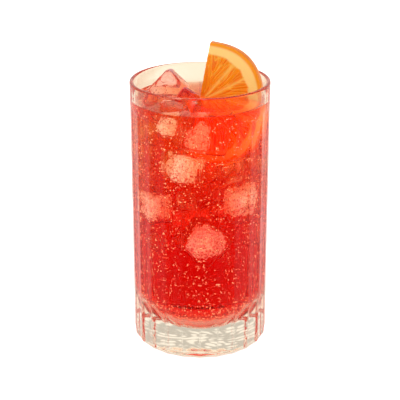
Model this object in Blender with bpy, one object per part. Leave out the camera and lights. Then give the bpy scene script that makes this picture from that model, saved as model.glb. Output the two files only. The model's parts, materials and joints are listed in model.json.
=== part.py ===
"""A red bitter and tonic highball with ice and an orange slice.

A straight pressed glass with vertical panels holds the drink. Five pieces of
ice stand out of the drink, and a cut orange slice stands upright against them.
The origin is the middle of the glass's base, with +Z up. Units are metres.
"""

import math
import random

import bmesh
import bpy
from mathutils import Matrix, Vector

# Driving dimensions of the glass
GLASS_HEIGHT = 0.145
GLASS_RADIUS = 0.0367
WALL = 0.0028
RIM_WALL = 0.0021
RIM_TAPER_START = 0.139
RIM_TAPER_END = 0.122
BOWL_BOTTOM = 0.0088
BOWL_DEPTH = 0.0325
BOWL_STEPS = 9
HEEL_RADIUS = 0.0026
PANELS = 24
STEPS_PER_PANEL = 4
PANEL_TOP = 0.1295
PANEL_FADE = 0.0035

# Driving dimensions of the drink
LEVEL = 0.1348
MENISCUS_RISE = 0.0008
MENISCUS_WIDTH = 0.0024
MENISCUS_BEND = 0.3
GAP = 0.0003

# Driving dimensions of the orange slice, whose frame lies in its front face
SLICE_CENTRE = Vector((0.0010, 0.0025, 0.1330))
SLICE_RADIUS = 0.0318
SLICE_THICKNESS = 0.0065
SLICE_YAW = math.radians(18)
SLICE_LEAN = math.radians(3)
SLICE_ROLL = math.radians(9.5)
CUT_OFFSET = 0.0013
FLESH_SHARE = 0.81
ZEST_SHARE = 0.955
RIND_STEP_SHARE = 0.83
SEGMENT_END_SHARE = 0.76
SLICE_RINGS = (0.10, 0.30, 0.55, SEGMENT_END_SHARE, FLESH_SHARE, RIND_STEP_SHARE, ZEST_SHARE, 1.0)
MIDDLE_SHARE = 0.05
CORE_SHARE = 0.16
MEMBRANE_DEPTH = 0.0006
PITH_DEPTH = 0.00015
MEMBRANE_ANGLES = (30, 50, 70, 98, 129, 157)
MEMBRANE_WIDTH = math.radians(3.5)
SLICE_STEPS = 60
PEEL_BULGE = 0.0004
TOP_CORNER_LOSS = 0.04
TOP_CORNER_SPREAD = math.radians(20)
SHOULDER_GAIN = 0.05
SHOULDER_ANGLE = math.radians(42)
SHOULDER_SPREAD = math.radians(26)

# Each piece of ice: its name, size, centre, and turns about Z, X and Y in degrees
ICE = (
    ("ice_back", (0.0165, 0.0140, 0.0165), (-0.0159, 0.0142, 0.1356), (-8, -7, 43)),
    ("ice_top", (0.0120, 0.0070, 0.0092), (-0.0063, -0.0010, 0.1346), (-2, 4, 36)),
    ("ice_middle", (0.0225, 0.0200, 0.0230), (0.0021, -0.0158, 0.1243), (10, -4, 15)),
    ("ice_front", (0.0115, 0.0120, 0.0160), (-0.0150, -0.0192, 0.1291), (12, 4, 15)),
    ("ice_left", (0.0080, 0.0085, 0.0105), (-0.0268, -0.0052, 0.1324), (12, -12, 24)),
)
ICE_EDGE = 0.0022
ICE_UNEVENNESS = 0.0005
ICE_SEED = 7


def clear_scene():
    for thing in list(bpy.data.objects):
        bpy.data.objects.remove(thing)


def material(name, colour, roughness, metallic=0.0):
    made = bpy.data.materials.new(name)
    made.use_nodes = True
    shader = made.node_tree.nodes["Principled BSDF"]
    shader.inputs["Base Color"].default_value = (*colour, 1.0)
    shader.inputs["Roughness"].default_value = roughness
    shader.inputs["Metallic"].default_value = metallic
    return made


def finish_object(name, bm, made, smooth_angle=35):
    """Turns the mesh under construction into a named object, shaded smooth."""
    bmesh.ops.recalc_face_normals(bm, faces=bm.faces)
    mesh = bpy.data.meshes.new(name)
    bm.to_mesh(mesh)
    bm.free()
    mesh.shade_smooth()
    mesh.set_sharp_from_angle(angle=math.radians(smooth_angle))
    thing = bpy.data.objects.new(name, mesh)
    thing.data.materials.append(made)
    bpy.context.scene.collection.objects.link(thing)
    return thing


def arc(centre_r, centre_z, radius, start, end, steps):
    """Points of an arc in the profile plane, from one angle to another in degrees."""
    for i in range(steps + 1):
        angle = math.radians(start + (end - start) * i / steps)
        yield centre_r + radius * math.cos(angle), centre_z + radius * math.sin(angle)


def bowl(radius, bottom, depth):
    """Profile points of the round inside bottom, from the axis out to the wall."""
    points = []
    for i in range(BOWL_STEPS + 1):
        angle = math.pi / 2 * i / BOWL_STEPS
        points.append((radius * math.sin(angle), bottom + depth * (1 - math.cos(angle))))
    return points


def turned(profile, shape):
    """A closed body turned from (radius, height) points, first and last on the axis."""
    around = PANELS * STEPS_PER_PANEL
    bm = bmesh.new()
    rings = []
    for radius, height in profile[1:-1]:
        ring = []
        for i in range(around):
            angle = math.tau * i / around - math.pi / 2
            r = shape(radius, height, i)
            ring.append(bm.verts.new((r * math.cos(angle), r * math.sin(angle), height)))
        rings.append(ring)
    for lower, upper in zip(rings, rings[1:]):
        for i in range(around):
            j = (i + 1) % around
            bm.faces.new((lower[i], lower[j], upper[j], upper[i]))
    for ring, (_, height) in ((rings[0], profile[0]), (rings[-1], profile[-1])):
        pole = bm.verts.new((0, 0, height))
        for i in range(around):
            bm.faces.new((ring[i], ring[(i + 1) % around], pole))
    return bm


def panel_share(height):
    """How far the outside has its flat panels at a height: 1 on them, 0 on the plain rim."""
    share = (PANEL_TOP + PANEL_FADE - height) / PANEL_FADE
    return min(1.0, max(0.0, share))


def panelled_radius(radius, height, step):
    """The outside of the glass: flat panels whose edges lie on the round."""
    half_panel = math.pi / PANELS
    across = math.tau / PANELS * (step % STEPS_PER_PANEL) / STEPS_PER_PANEL - half_panel
    flat = radius * math.cos(half_panel) / math.cos(across)
    return radius + (flat - radius) * panel_share(height)


def make_glass():
    inner = GLASS_RADIUS - WALL
    rim_inner = GLASS_RADIUS - RIM_WALL
    lip = RIM_WALL / 2
    outside = [(0.0, 0.0)]
    outside += arc(GLASS_RADIUS - HEEL_RADIUS, HEEL_RADIUS, HEEL_RADIUS, -90, 0, 4)
    outside += [(GLASS_RADIUS, PANEL_TOP), (GLASS_RADIUS, PANEL_TOP + PANEL_FADE)]
    rim = list(arc(GLASS_RADIUS - lip, GLASS_HEIGHT - lip, lip, 0, 180, 6))
    inside = [(rim_inner, RIM_TAPER_START), (inner, RIM_TAPER_END)]
    inside += reversed(bowl(inner, BOWL_BOTTOM, BOWL_DEPTH))
    split = len(outside)

    profile = outside + rim + inside
    panelled = set(outside[:split])

    def shape(radius, height, step):
        if (radius, height) in panelled:
            return panelled_radius(radius, height, step)
        return radius

    bm = turned(profile, shape)
    return finish_object("glass", bm, material("clear_glass", (0.93, 0.94, 0.92), 0.02))


def inner_radius(height):
    """The radius of the inside of the glass above its round bottom."""
    inner = GLASS_RADIUS - WALL
    if height <= RIM_TAPER_END:
        return inner
    share = (height - RIM_TAPER_END) / (RIM_TAPER_START - RIM_TAPER_END)
    return inner + share * (WALL - RIM_WALL)


def make_drink():
    side = GLASS_RADIUS - WALL - GAP
    profile = bowl(side, BOWL_BOTTOM + GAP, BOWL_DEPTH - GAP)
    profile += [(side, RIM_TAPER_END)]
    top = inner_radius(LEVEL) - GAP
    profile += [(top, LEVEL + MENISCUS_RISE)]
    profile += [(top - MENISCUS_BEND * MENISCUS_WIDTH, LEVEL + MENISCUS_BEND * MENISCUS_RISE)]
    profile += [(top - MENISCUS_WIDTH, LEVEL), (0.0, LEVEL)]
    bm = turned(profile, lambda radius, height, step: radius)
    return finish_object("drink", bm, material("red_drink", (0.80, 0.06, 0.03), 0.05))


def slice_matrix():
    """From the slice's own frame (right, up, out of the front face) to the world."""
    right = Vector((math.cos(SLICE_YAW), -math.sin(SLICE_YAW), 0))
    out_level = Vector((-math.sin(SLICE_YAW), -math.cos(SLICE_YAW), 0))
    up_level = Vector((0, 0, 1))
    out = math.cos(SLICE_LEAN) * out_level + math.sin(SLICE_LEAN) * up_level
    up = math.cos(SLICE_LEAN) * up_level - math.sin(SLICE_LEAN) * out_level
    along = math.cos(SLICE_ROLL) * up + math.sin(SLICE_ROLL) * right
    across = math.cos(SLICE_ROLL) * right - math.sin(SLICE_ROLL) * up
    turn = Matrix((across, along, out)).transposed().to_4x4()
    return Matrix.Translation(SLICE_CENTRE) @ turn


def reach(angle, circle, offset):
    """Distance from the middle of the straight cut to a circle about the slice's centre."""
    half_chord = circle * circle - (offset * math.cos(angle)) ** 2
    return offset * math.sin(angle) + math.sqrt(half_chord)


def outline_scale(angle):
    """The peel is out of round: full at the shoulder and low at its top corner."""
    corner = math.exp(-((angle / TOP_CORNER_SPREAD) ** 2))
    shoulder = math.exp(-(((angle - SHOULDER_ANGLE) / SHOULDER_SPREAD) ** 2))
    return 1 - TOP_CORNER_LOSS * corner + SHOULDER_GAIN * shoulder


def flesh_relief(x, y, circle):
    """Depth of the face below its highest parts: membranes lie low between the segments."""
    if circle <= 0 or circle > FLESH_SHARE:
        return PITH_DEPTH if circle < ZEST_SHARE else 0.0
    angle = math.atan2(x, y)
    nearest = min(abs(angle - math.radians(m)) for m in MEMBRANE_ANGLES)
    groove = math.exp(-((nearest / MEMBRANE_WIDTH) ** 2))
    core = math.exp(-((circle / CORE_SHARE) ** 2))
    edge = max(0.0, (circle - SEGMENT_END_SHARE) / (FLESH_SHARE - SEGMENT_END_SHARE))
    return MEMBRANE_DEPTH * max(groove, core, edge)


def make_slice(name, grow, relief):
    """A little over half an orange slice, its straight cut edge up the left side."""
    bm = bmesh.new()
    front_z = grow
    back_z = -SLICE_THICKNESS - grow
    offset = CUT_OFFSET + grow

    def column(angle):
        points = []
        for share in SLICE_RINGS:
            circle = share * SLICE_RADIUS * outline_scale(angle) + grow
            distance = reach(angle, circle, offset)
            x = distance * math.sin(angle) - offset
            y = distance * math.cos(angle)
            points.append((x, y, share))
        return points

    def place(x, y, share, z, sign):
        depth = flesh_relief(x, y, share) if relief else 0.0
        return bm.verts.new((x, y, z - sign * depth))

    columns = [column(math.pi * i / SLICE_STEPS) for i in range(SLICE_STEPS + 1)]
    fronts = [[place(x, y, s, front_z, 1) for x, y, s in c] for c in columns]
    backs = [[place(x, y, s, back_z, -1) for x, y, s in c] for c in columns]
    front_pole = place(-offset, 0, MIDDLE_SHARE, front_z, 1)
    back_pole = place(-offset, 0, MIDDLE_SHARE, back_z, -1)
    bulge = PEEL_BULGE if relief else 0.0
    middles = []
    for c in columns:
        x, y, _ = c[-1]
        away = Vector((x, y)).normalized() * bulge
        middles.append(bm.verts.new((x + away.x, y + away.y, (front_z + back_z) / 2)))
    for grid, pole in ((fronts, front_pole), (backs, back_pole)):
        for left, right in zip(grid, grid[1:]):
            bm.faces.new((pole, left[0], right[0]))
            for i in range(len(SLICE_RINGS) - 1):
                bm.faces.new((left[i], left[i + 1], right[i + 1], right[i]))
    for i in range(SLICE_STEPS):
        bm.faces.new((fronts[i][-1], fronts[i + 1][-1], middles[i + 1], middles[i]))
        bm.faces.new((middles[i], middles[i + 1], backs[i + 1][-1], backs[i][-1]))
    for i in (0, SLICE_STEPS):
        bm.faces.new((front_pole, fronts[i][0], backs[i][0], back_pole))
        for j in range(len(SLICE_RINGS) - 1):
            corners = [fronts[i][j], fronts[i][j + 1], backs[i][j + 1], backs[i][j]]
            if j == len(SLICE_RINGS) - 2:
                corners.insert(2, middles[i])
            bm.faces.new(corners)
    made = finish_object(name, bm, material(name + "_orange", (0.95, 0.42, 0.03), 0.35))
    made.matrix_world = slice_matrix()
    return made


def make_ice(name, size, centre, turns, seed, grow):
    """A melting block: six faces a little out of true, with round edges."""
    draw = random.Random(seed)
    bm = bmesh.new()
    bmesh.ops.create_cube(bm, size=1.0)
    for corner in bm.verts:
        shift = Vector([draw.uniform(-ICE_UNEVENNESS, ICE_UNEVENNESS) for _ in range(3)])
        full = Vector([side + 2 * grow for side in size])
        corner.co = Vector([c * side for c, side in zip(corner.co, full)]) + shift
    bmesh.ops.bevel(
        bm,
        geom=bm.edges[:],
        offset=ICE_EDGE + grow,
        segments=4,
        profile=0.5,
        affect="EDGES",
    )
    bmesh.ops.triangulate(bm, faces=bm.faces, quad_method="FIXED", ngon_method="EAR_CLIP")
    made = finish_object(name, bm, material(name + "_clear", (0.90, 0.75, 0.68), 0.08), 60)
    yaw, pitch, roll = (math.radians(turn) for turn in turns)
    turn = Matrix.Rotation(yaw, 4, "Z") @ Matrix.Rotation(pitch, 4, "X") @ Matrix.Rotation(roll, 4, "Y")
    made.matrix_world = Matrix.Translation(Vector(centre)) @ turn
    return made


def cut(target, cutter):
    cutter.hide_render = True
    cutter.display_type = "WIRE"
    boolean = target.modifiers.new("around_" + cutter.name, "BOOLEAN")
    boolean.operation = "DIFFERENCE"
    boolean.object = cutter
    boolean.solver = "EXACT"


def main():
    clear_scene()
    make_glass()
    drink = make_drink()
    make_slice("orange_slice", 0.0, True)
    cut(drink, make_slice("slice_room", PEEL_BULGE + GAP, False))
    for index, (name, size, centre, turns) in enumerate(ICE):
        make_ice(name, size, centre, turns, ICE_SEED + index, 0.0)
        cut(drink, make_ice(name + "_room", size, centre, turns, ICE_SEED + index, GAP))


main()
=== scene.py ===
"""The looks of a red bitter and tonic highball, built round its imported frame.

Units are metres, with +Z up and the origin in the middle of the glass's base.
"""

import json
import math

import bmesh
import bpy
import numpy as np
from mathutils import Matrix, Vector, noise
from mathutils.bvhtree import BVHTree

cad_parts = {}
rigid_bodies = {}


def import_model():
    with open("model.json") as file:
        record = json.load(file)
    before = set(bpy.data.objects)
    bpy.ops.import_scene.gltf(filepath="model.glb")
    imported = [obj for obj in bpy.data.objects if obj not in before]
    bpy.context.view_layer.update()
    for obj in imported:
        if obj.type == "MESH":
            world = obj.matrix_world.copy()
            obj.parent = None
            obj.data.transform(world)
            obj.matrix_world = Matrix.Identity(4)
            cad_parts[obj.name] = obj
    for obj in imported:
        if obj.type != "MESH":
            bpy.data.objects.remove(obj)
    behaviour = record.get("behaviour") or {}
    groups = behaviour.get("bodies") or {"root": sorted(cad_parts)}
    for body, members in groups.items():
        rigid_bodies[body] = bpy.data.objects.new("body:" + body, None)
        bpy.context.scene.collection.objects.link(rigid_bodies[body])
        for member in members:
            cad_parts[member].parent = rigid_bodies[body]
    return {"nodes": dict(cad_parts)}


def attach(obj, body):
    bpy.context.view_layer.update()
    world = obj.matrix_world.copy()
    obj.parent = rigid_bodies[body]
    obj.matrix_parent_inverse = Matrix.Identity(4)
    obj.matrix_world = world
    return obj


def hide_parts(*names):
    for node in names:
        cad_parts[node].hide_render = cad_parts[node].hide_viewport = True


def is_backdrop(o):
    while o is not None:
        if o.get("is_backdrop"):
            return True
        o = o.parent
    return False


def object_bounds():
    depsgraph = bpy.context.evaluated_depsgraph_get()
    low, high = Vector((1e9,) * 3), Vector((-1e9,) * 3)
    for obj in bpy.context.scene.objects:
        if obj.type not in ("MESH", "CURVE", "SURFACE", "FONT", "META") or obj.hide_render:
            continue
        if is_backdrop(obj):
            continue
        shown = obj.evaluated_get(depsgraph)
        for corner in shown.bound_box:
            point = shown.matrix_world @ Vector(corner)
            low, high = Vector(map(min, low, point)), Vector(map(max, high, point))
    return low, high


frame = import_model()
cad_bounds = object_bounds()

# The glass and the level of the drink, as in the part
GLASS_HEIGHT = 0.145
GLASS_RADIUS = 0.0367
WALL = 0.0028
RIM_WALL = 0.0021
RIM_TAPER_START = 0.139
RIM_TAPER_END = 0.122
BOWL_BOTTOM = 0.0088
BOWL_DEPTH = 0.0325
HEEL_RADIUS = 0.0026
PANELS = 24
PANEL_TOP = 0.1295
PANEL_FADE = 0.0035
LEVEL = 0.1348
MENISCUS_RISE = 0.0008
MENISCUS_WIDTH = 0.0024

# The finer shape of the glass
EDGE_ROUNDING = 0.0020
GROOVE_DEPTH = 0.00010
PANEL_HOLLOW = 0.0002
UNDERSIDE_RADIUS = 0.031
UNDERSIDE_LIFT = 0.00035
UNDERSIDE_FADE = 0.003
UNDERSIDE_GRAIN = 160
UNDERSIDE_STEP = 0.0025
UNDERSIDE_RINGS = 13
HEEL_STEPS = 10
RIM_STEPS = 16
FADE_STEPS = 8
FILLET_STEPS = 8
PANEL_SHARES = (0.04, 0.27, 0.5, 0.73, 0.96)
HEIGHT_SHARES = (0.05, 0.25, 0.5, 0.75, 0.97)
TAPER_STEP = 0.00085
TAPER_STEPS = 20
INSIDE_HEIGHTS = (0.10, 0.06)
BOWL_STEPS = 28
GLASS_SMOOTH_ANGLE = 40
OVERLAP = 0.00015
BOWL_OVERLAP = 0.0006
ICE_INSET = 0.00012
SLICE_INSET = 0.0004

# The finer shape of the drink
DRINK_SIDES = 240
DRINK_HEIGHTS = (0.06, 0.09, RIM_TAPER_END, 0.126, 0.130, LEVEL)
DRINK_SMOOTH_ANGLE = 35
MENISCUS_STEPS = 10
MENISCUS_POWER = 2.4
LEVEL_RADII = (0.026, 0.018, 0.010, 0.004)
OPEN_FACE_DEPTH = 0.0001

# The orange slice, as in the part
SLICE_CENTRE = Vector((0.0010, 0.0025, 0.1330))
SLICE_RADIUS = 0.0318
SLICE_THICKNESS = 0.0065
SLICE_YAW = math.radians(18)
SLICE_LEAN = math.radians(3)
SLICE_ROLL = math.radians(9.5)
CUT_OFFSET = 0.0013
FLESH_SHARE = 0.81
ZEST_SHARE = 0.955
MEMBRANE_ANGLES = (30, 50, 70, 98, 129, 157)
PEEL_BULGE = 0.0004
TOP_CORNER_LOSS = 0.04
TOP_CORNER_SPREAD = math.radians(20)
SHOULDER_GAIN = 0.05
SHOULDER_ANGLE = math.radians(42)
SHOULDER_SPREAD = math.radians(26)

# The finer shape of the slice
SLICE_COLUMNS = 301
SLICE_CORE = 0.06
FLESH_RINGS = 76
PEEL_RINGS = 17
PEEL_ROWS = 14
PEEL_POWER = 0.6
SAC_SCALE_ROUND = 8.5
SAC_SCALE_OUT = 130
SAC_BORDER = 0.22
SAC_HEIGHT = 0.00045
SAC_SINK = 0.0001
MEMBRANE_WIDTH = 0.012
MEMBRANE_SINK = 0.0002
CORE_SPREAD = 0.07
EDGE_SOFTNESS = 0.006
ROUNDED_FROM = 0.985
FACE_DEPTH = 0.0003
PORE_SCALES = (900, 2300)
PORE_DEPTH = 0.00025
PORE_PAINTED_SHADE = 0.35
PEEL_TONE_SCALE = 160
CUT_LUMP = 0.0002
SLICE_DROP = 0.00003
SLICE_SMOOTH_ANGLE = 50

# Refractive indices
GLASS_IOR = 1.5
DRINK_IOR = 1.35
ICE_IOR = 1.31
SUNK_ICE_IOR = 1.24

# Light that the slice gives off, above the level and from a little way under it
OPEN_GLOW = 0.17
SUNK_GLOW = 1.05
SUNK_GLOW_DEPTH = 0.008

# The camera, fitted to the rim and the base
PICTURE_SIZE = 400
CAMERA_PLACE = (0, -0.5634, 0.3000)
CAMERA_TILT = math.radians(21.55)
CAMERA_LENS = 100.75
CAMERA_SENSOR = 36

# Sunk ice that shows well at the front: size, the picture point of its middle, and about how it is
# turned about Z, X and Y in degrees. Each block gives way to those before it.
FRONT_ICE = (
    (0.0195, (232, 197), (-30, 8, 16)),
    (0.0165, (159, 202), (36, 8, 10)),
    (0.0205, (203, 230), (4, -6, 45)),
    (0.0160, (190, 160), (20, 6, 14)),
)
FRONT_ROOM = ((-0.024, 0.024), (-0.026, -0.006), (0.05, 0.115))
FRONT_TRIES = 16000
FRONT_MISS = 14
FRONT_TURN = 8
FRONT_GAP = 0.0002
FRONT_SEED = 5
WALL_PULL = 900

# The rest of the sunk ice, drawn at random: sizes, and the lowest and highest middle
SEED = 11
FILL_TRIES = 1500
FILL_SIZES = (0.0215, 0.0165, 0.0125, 0.0095)
FILL_SPREAD = (0.92, 1.06)
FILL_LOWEST = 0.058
FILL_HIGHEST = 0.1270
FILL_TURN = 45
CORNER_BELOW = 0.008
SURFACE_CLEARANCE = 0.0006
WALL_CLEARANCE = 0.0004
ROUNDED_SHARE = 0.10

# How ice melts: its fine mesh, its waves and its rounded corners
OPEN_VOXEL = 0.0005
OPEN_WAVE = 0.00028
OPEN_OFFSET = -0.0001
LARGE_BLOCK = 0.015
LARGE_VOXEL = 0.0009
SMALL_VOXEL = 0.0007
SUNK_WAVE = 0.00040
SUNK_OFFSET = -0.00015
SUNK_SHARE = 0.985
SUNK_FIRST_WAVE = 20
WAVE_SCALE = 190
RIPPLE_SCALE = 620
RIPPLE_SHARE = 0.30
SOFTENING = 0.5
SOFTENING_ROUNDS = 6
CORNER_SHIFT = 0.0012
CORNER_ROUNDING = 0.0026
CORNER_STEPS = 4
STANDING_STRIDE = 7

# Clouds of fine air in the ice: which blocks hold one, moved how far and how large
CLOUD_SHARES = (0.50, 0.84)
STANDING_CLOUDS = (
    ("ice_middle", (-0.0045, -0.0010, -0.0070), 0.75),
    ("ice_middle", (-0.0010, -0.0020, 0.0010), 0.40),
    ("ice_front", (0.0005, -0.0010, -0.0050), 0.80),
)
BACK_CLOUDS = 3
BACK_CLOUD_BEHIND = 0.008
BACK_CLOUD_SCALE = 0.8
FIRST_CLOUD_SHIFT = (0.0015, -0.0005, 0.0015)
FIRST_CLOUD_SCALE = 1.08
CLOUD_DEFAULT = 0.004
CLOUD_LARGEST = 0.011
CLOUD_REACH = 0.93
CLOUD_SWELL = 0.28
CLOUD_SWELL_SCALE = 1.7
CLOUD_RIPPLE = 0.16
CLOUD_RIPPLE_SCALE = 4.3
CLOUD_WISP_SCALE = 620
CLOUD_WISP_RANGE = (0.42, 0.62)
CLOUD_OPACITY = 0.85
CLOUD_HOLE_SCALE = 620
CLOUD_HOLE_RANGE = (0.22, 0.42)
# How much the clouds glow: painted light
CLOUD_PAINTED_GLOW = 0.42

# Tints of the glass and the ice. The ice's red is partly a stain of drink and partly painted refraction of
# the red drink below; its dark red edges are painted refraction.
WHITE = (1, 1, 1)
GLASS_TINT = (0.98, 0.87, 0.69)
GLASS_SHINE = 0.12
ICE_STAIN_AND_PAINTED_REFRACTION = (0.98, 0.36, 0.30)
ICE_STAIN_AND_PAINTED_REFRACTION_DENSITIES = {"ice_back": 55, "ice_top": 280, "ice_middle": 100, "ice_front": 20, "ice_left": 140}
ICE_PAINTED_REFRACTION_EDGE_COLOUR = (0.72, 0.14, 0.10)
ICE_EDGE_LEAST = 0.03
ICE_EDGE_GAIN = 9.0

# The sky's brightness by the sine of the height above the horizon
SKY_BANDS = (
    (0.03, 0.95),
    (0.05, 0.55),
    (0.08, 1.05),
    (0.11, 0.60),
    (0.14, 1.05),
    (0.17, 0.50),
    (0.20, 1.00),
    (0.23, 0.50),
    (0.27, 0.95),
    (0.31, 0.45),
    (0.34, 0.98),
    (0.43, 1.0),
    (0.46, 0.6),
    (0.50, 0.6),
    (0.53, 1.0),
    (0.62, 1.0),
    (0.66, 0.3),
    (0.72, 0.3),
    (0.76, 1.15),
)

SKY_SEEN = (1.1, 1.1, 1.1, 1)
SKY_STRENGTH = 1.06

# The floor: its patches, and how bright it looks to the light and to the camera
FLOOR_HALF = 4
FLOOR_DROP = 0.0002
FLOOR_PATCH_SCALE = 7.0
FLOOR_TONES = ((0.40, (0.86, 0.77, 0.68, 1)), (0.52, (0.97, 0.93, 0.88, 1)))
FLOOR_GLOW = 0.17
FLOOR_GLOW_SEEN = 0.9

CLEAR_BOUNCES = 64
DIFFUSE_BOUNCES = 16

# The red of the drink, and the tops and densities of the layers that deepen it downwards
VOLUME_DENSITY = 100.0
VOLUME_COLOUR = (0.955, 0.45, 0.04)
LAYERS = ((0.092, 13.0), (0.074, 13.0), (0.056, 13.0), (0.040, 30.0))
LAYER_COLOUR = (0.975, 0.10, 0.35)
LAYER_DOME = 0.018
LAYER_SIDES = 96
LAYER_STEPS = 20
LAYER_GAP = 0.00002
LAYER_RISE = 0.0002

# Bubbles along the wall, free in the drink and on the ice: how many, how large and where, and how much of
# each bubble its glowing ball fills, a painted highlight
WALL_BUBBLES = 3100
WALL_BUBBLE_LEAST = 0.00030
WALL_BUBBLE_SPREAD = 0.00032
WALL_BUBBLE_POWER = 1.3
WALL_BUBBLE_SINKING = 1.25
WALL_BUBBLE_DEPTH = 0.0006
WALL_BUBBLE_LOWEST = 0.002
FREE_BUBBLES = 1300
FREE_BUBBLE_RADII = (0.00030, 0.00060)
FREE_BUBBLE_REACH = 0.033
ICE_BUBBLES = 150
ICE_BUBBLE_RADII = (0.00024, 0.00050)
ICE_BUBBLE_LIFT = 0.0002
BUBBLE_MARGIN = 0.001
WALL_HIGHLIGHT_SHARE = 0.72
FREE_HIGHLIGHT_SHARE = 0.66
ROOM_PER_RADIUS = 1.05
STRAIGHT_WALL = 0.06


def linear(r, g, b):
    """A colour given as screen values from 0 to 255, as light values."""
    out = []
    for value in (r, g, b):
        s = value / 255
        out.append(s / 12.92 if s <= 0.04045 else ((s + 0.055) / 1.055) ** 2.4)
    return tuple(out)


def add_object(name, vertices, faces, smooth_angle=None):
    mesh = bpy.data.meshes.new(name)
    mesh.from_pydata([tuple(v) for v in vertices], [], [tuple(f) for f in faces])
    mesh.update()
    return add_mesh(name, mesh, smooth_angle)


def add_mesh(name, mesh, smooth_angle=None):
    mesh.shade_smooth()
    if smooth_angle:
        mesh.set_sharp_from_angle(angle=math.radians(smooth_angle))
    thing = bpy.data.objects.new(name, mesh)
    bpy.context.scene.collection.objects.link(thing)
    return thing


def evaluated_mesh(thing):
    graph = bpy.context.evaluated_depsgraph_get()
    return bpy.data.meshes.new_from_object(thing.evaluated_get(graph))


def keep_piece(thing, slot, *nodes):
    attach(thing, "root")
    if nodes:
        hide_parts(*nodes)


# Materials


def nodes_of(name):
    made = bpy.data.materials.new(name)
    made.use_nodes = True
    tree = made.node_tree
    return made, tree.nodes, tree.links


def clear_material(name, colour, ior, tint=1.0):
    made, nodes, _ = nodes_of(name)
    shader = nodes["Principled BSDF"]
    shader.inputs["Base Color"].default_value = (*colour, 1)
    shader.inputs["Roughness"].default_value = 0.0
    shader.inputs["IOR"].default_value = ior
    shader.inputs["Transmission Weight"].default_value = 1.0
    shader.inputs["Specular Tint"].default_value = (tint, tint, tint, 1)
    return made


def absorb(made, colour, density):
    """Fills a clear material with a colour that deepens with distance."""
    nodes, links = made.node_tree.nodes, made.node_tree.links
    volume = nodes.new("ShaderNodeVolumeAbsorption")
    volume.inputs["Color"].default_value = (*colour, 1)
    volume.inputs["Density"].default_value = density
    links.new(volume.outputs["Volume"], nodes["Material Output"].inputs["Volume"])


def mapped(tree_nodes, from_range, to_range):
    """A node that turns one range of values into another."""
    made = tree_nodes.new("ShaderNodeMapRange")
    made.inputs["From Min"].default_value, made.inputs["From Max"].default_value = from_range
    made.inputs["To Min"].default_value, made.inputs["To Max"].default_value = to_range
    return made


def stained_and_refraction_painted_ice(name, density):
    """Ice that red drink has run into, reddened partly as a stain and partly as painted refraction of the
    red drink below.
    """
    made = clear_material(name, WHITE, ICE_IOR)
    nodes, links = made.node_tree.nodes, made.node_tree.links
    paint = nodes.new("ShaderNodeAttribute")
    paint.attribute_name = "paint"
    links.new(paint.outputs["Color"], nodes["Principled BSDF"].inputs["Base Color"])
    absorb(made, ICE_STAIN_AND_PAINTED_REFRACTION, density)
    return made


def drink_material():
    made = clear_material("red_drink_clear", WHITE, DRINK_IOR)
    nodes, links = made.node_tree.nodes, made.node_tree.links
    open_face = nodes.new("ShaderNodeAttribute")
    open_face.attribute_name = "open_face"
    links.new(open_face.outputs["Fac"], nodes["Principled BSDF"].inputs["Specular Tint"])
    absorb(made, VOLUME_COLOUR, VOLUME_DENSITY)
    return made


def layer_material(name, density):
    made = clear_material(name, WHITE, 1.0, 0.0)
    absorb(made, LAYER_COLOUR, density)
    return made


def bubble_material(name, ior):
    made, nodes, links = nodes_of(name)
    nodes.remove(nodes["Principled BSDF"])
    shader = nodes.new("ShaderNodeBsdfGlass")
    shader.inputs["Color"].default_value = (1, 1, 1, 1)
    shader.inputs["Roughness"].default_value = 0.0
    shader.inputs["IOR"].default_value = ior
    links.new(shader.outputs["BSDF"], nodes["Material Output"].inputs["Surface"])
    return made


def painted_highlight_material():
    """A pale glowing ball in the middle of a bubble: a painted highlight."""
    made, nodes, links = nodes_of("bubble_middle")
    shader = nodes["Principled BSDF"]
    shader.inputs["Base Color"].default_value = (1.0, 0.80, 0.68, 1)
    shader.inputs["Roughness"].default_value = 0.7
    shader.inputs["Specular IOR Level"].default_value = 0.0
    # The pale ball glows: a painted highlight in the middle of each bubble.
    shader.inputs["Emission Color"].default_value = (1.0, 0.46, 0.28, 1)
    shader.inputs["Emission Strength"].default_value = 1.5
    return made


def cloud_material():
    """Fine air frozen into the ice: white wisps with clear gaps between them, which glow a little as
    painted light.
    """
    made, nodes, links = nodes_of("ice_cloud")
    shader = nodes["Principled BSDF"]
    shader.inputs["Base Color"].default_value = (1.0, 0.97, 0.93, 1)
    shader.inputs["Roughness"].default_value = 0.9
    # The wisps glow: painted light.
    shader.inputs["Emission Color"].default_value = (0.72, 0.66, 0.62, 1)
    shader.inputs["Emission Strength"].default_value = CLOUD_PAINTED_GLOW
    place = nodes.new("ShaderNodeTexCoord")
    wisps = nodes.new("ShaderNodeTexNoise")
    wisps.inputs["Scale"].default_value = CLOUD_WISP_SCALE
    wisps.inputs["Detail"].default_value = 4
    links.new(place.outputs["Object"], wisps.inputs["Vector"])
    share = mapped(nodes, CLOUD_WISP_RANGE, (0.0, CLOUD_OPACITY))
    links.new(wisps.outputs["Fac"], share.inputs["Value"])
    cells = nodes.new("ShaderNodeTexVoronoi")
    cells.inputs["Scale"].default_value = CLOUD_HOLE_SCALE
    links.new(place.outputs["Object"], cells.inputs["Vector"])
    holes = mapped(nodes, CLOUD_HOLE_RANGE, (0.0, 1.0))
    links.new(cells.outputs["Distance"], holes.inputs["Value"])
    pierced = nodes.new("ShaderNodeMath")
    pierced.operation = "MULTIPLY"
    links.new(share.outputs["Result"], pierced.inputs[0])
    links.new(holes.outputs["Result"], pierced.inputs[1])
    links.new(pierced.outputs["Value"], shader.inputs["Alpha"])
    return made


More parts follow.
